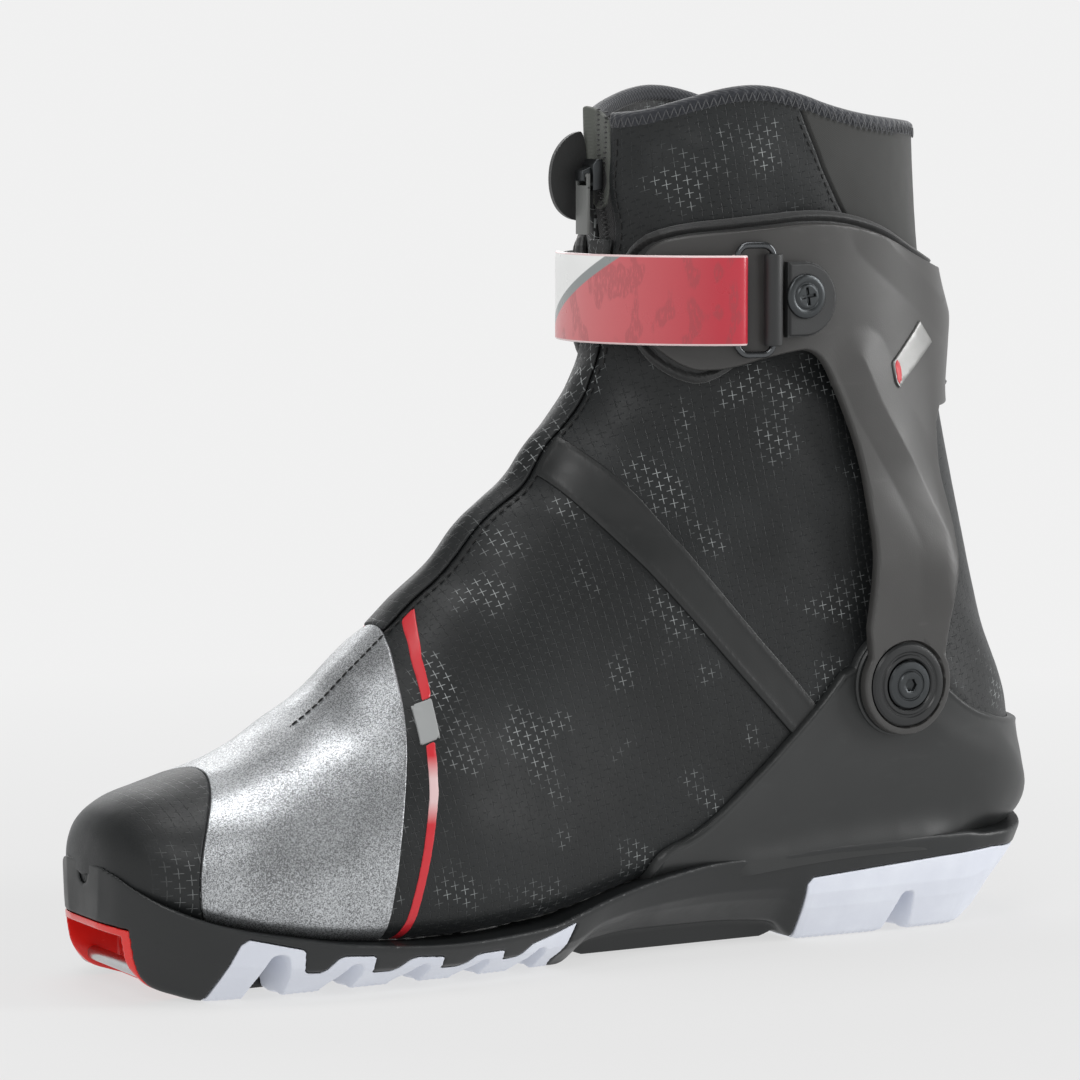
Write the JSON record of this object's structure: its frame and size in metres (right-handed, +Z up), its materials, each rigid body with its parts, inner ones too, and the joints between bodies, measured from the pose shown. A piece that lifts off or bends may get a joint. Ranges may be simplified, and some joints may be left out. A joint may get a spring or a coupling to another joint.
{
  "type": "cross-country skating ski boot",
  "caption": "Left skating ski boot: softshell upper with front zip, heel shell, hinged cuff with arms, power strap, lugged sole and toe bar.",
  "frame": {"origin": "centre of the bounding box in plan, on the ground under the sole", "axes": "+Z up, toe towards -X, heel towards +X, the outer (lateral) side of the left foot towards -Y"},
  "size_m": [0.3026, 0.096, 0.248],
  "materials": {
    "badge_metal": "light brushed metal foil",
    "binding_tape": "black elastic tape with zigzag stitching",
    "black_plastic": "black moulded plastic",
    "board": "stiff fibre board",
    "cuff_plastic": "satin dark grey moulded plastic",
    "dark_metal": "dark plated metal",
    "heel_plastic": "satin black moulded plastic",
    "insole_felt": "grey felt over foam",
    "neoprene": "dark grey stretch fabric",
    "padding_foam": "black fabric over foam",
    "red_plastic": "glossy red-orange moulded plastic",
    "red_strap": "red printed strap with hook and loop inside",
    "silver_vamp": "silver grained metallic film on synthetic",
    "softshell": "black laminated softshell with a fine embossed cross pattern",
    "softshell_cap": "black textured synthetic with an embossed pattern",
    "sole_rubber": "satin black moulded sole",
    "steel": "brushed stainless steel",
    "taped_band": "smooth black welded tape",
    "tread_rubber": "matt bluish white rubber",
    "webbing": "black woven webbing",
    "zip_tape": "black woven zip tape with moulded teeth"
  },
  "bodies": {
    "foot": {"outsole": "sole_rubber", "tread_forefoot_lateral": "tread_rubber", "tread_forefoot_medial": "tread_rubber", "tread_heel": "tread_rubber", "toe_insert": "red_plastic", "toe_bar": "steel", "lasting_board": "board", "insole": "insole_felt", "upper_foot": "softshell", "ankle_sleeve": "softshell", "toe_cap": "softshell_cap", "vamp_panel": "silver_vamp", "instep_band_lateral": "taped_band", "instep_band_medial": "taped_band", "heel_shell": "heel_plastic", "zipper_lower": "zip_tape", "zipper_ankle": "zip_tape", "zip_flap": "softshell", "tongue": "padding_foam", "eyestay_lateral": "webbing", "eyestay_medial": "webbing", "speed_lace": "red_strap", "pivot_nut_lateral": "steel", "pivot_nut_medial": "steel", "pivot_bushing_lateral": "black_plastic", "pivot_bushing_medial": "black_plastic", "pivot_screw_lateral": "dark_metal", "pivot_screw_medial": "dark_metal"},
    "cuff": {"cuff_shell": "cuff_plastic", "cuff_padding": "padding_foam", "cuff_badge": "badge_metal", "shaft_panel_lateral": "softshell", "shaft_panel_medial": "softshell", "collar_back": "neoprene", "collar_binding": "binding_tape", "zipper_upper": "zip_tape", "zip_guard": "neoprene", "pivot_cover_lateral": "black_plastic", "pivot_cover_medial": "black_plastic", "strap_nut_lateral": "steel", "strap_nut_medial": "steel"},
    "strap": {"strap_base": "webbing", "strap_ring": "steel", "strap_tab_lateral": "black_plastic", "strap_tab_medial": "black_plastic", "strap_washer_lateral": "black_plastic", "strap_washer_medial": "black_plastic", "strap_screw_lateral": "dark_metal", "strap_screw_medial": "dark_metal"},
    "strap_flap": {"strap_flap": "red_strap"},
    "zip_slider": {"zip_slider": "dark_metal"},
    "zip_puller": {"zip_puller": "black_plastic"}
  },
  "joints": [
    {"name": "cuff_flex", "type": "hinge", "parent": "foot", "child": "cuff", "pos_m": [0.08941, 0, 0.075], "axis": [0, -1, 0], "range_deg": [-8, 16], "stiffness_Nm_per_rad": 6, "deforming": ["ankle_sleeve", "tongue", "zipper_ankle"]},
    {"name": "strap_swivel", "type": "hinge", "parent": "cuff", "child": "strap", "pos_m": [0.05441, 0, 0.188], "axis": [0, 1, 0], "range_deg": [-4, 4]},
    {"name": "strap_peel", "type": "hinge", "parent": "strap", "child": "strap_flap", "pos_m": [0.0348, -0.03846, 0.18705], "axis": [0, 0, 1], "range_deg": [0, 110]},
    {"name": "zip_slide", "type": "slide", "parent": "cuff", "child": "zip_slider", "axis": [0, 0, 1], "range_m": [-0.004, 0.011]},
    {"name": "puller_swing", "type": "hinge", "parent": "zip_slider", "child": "zip_puller", "pos_m": [0.00631, 0, 0.2218], "axis": [0, 1, 0], "range_deg": [0, 110]}
  ]
}
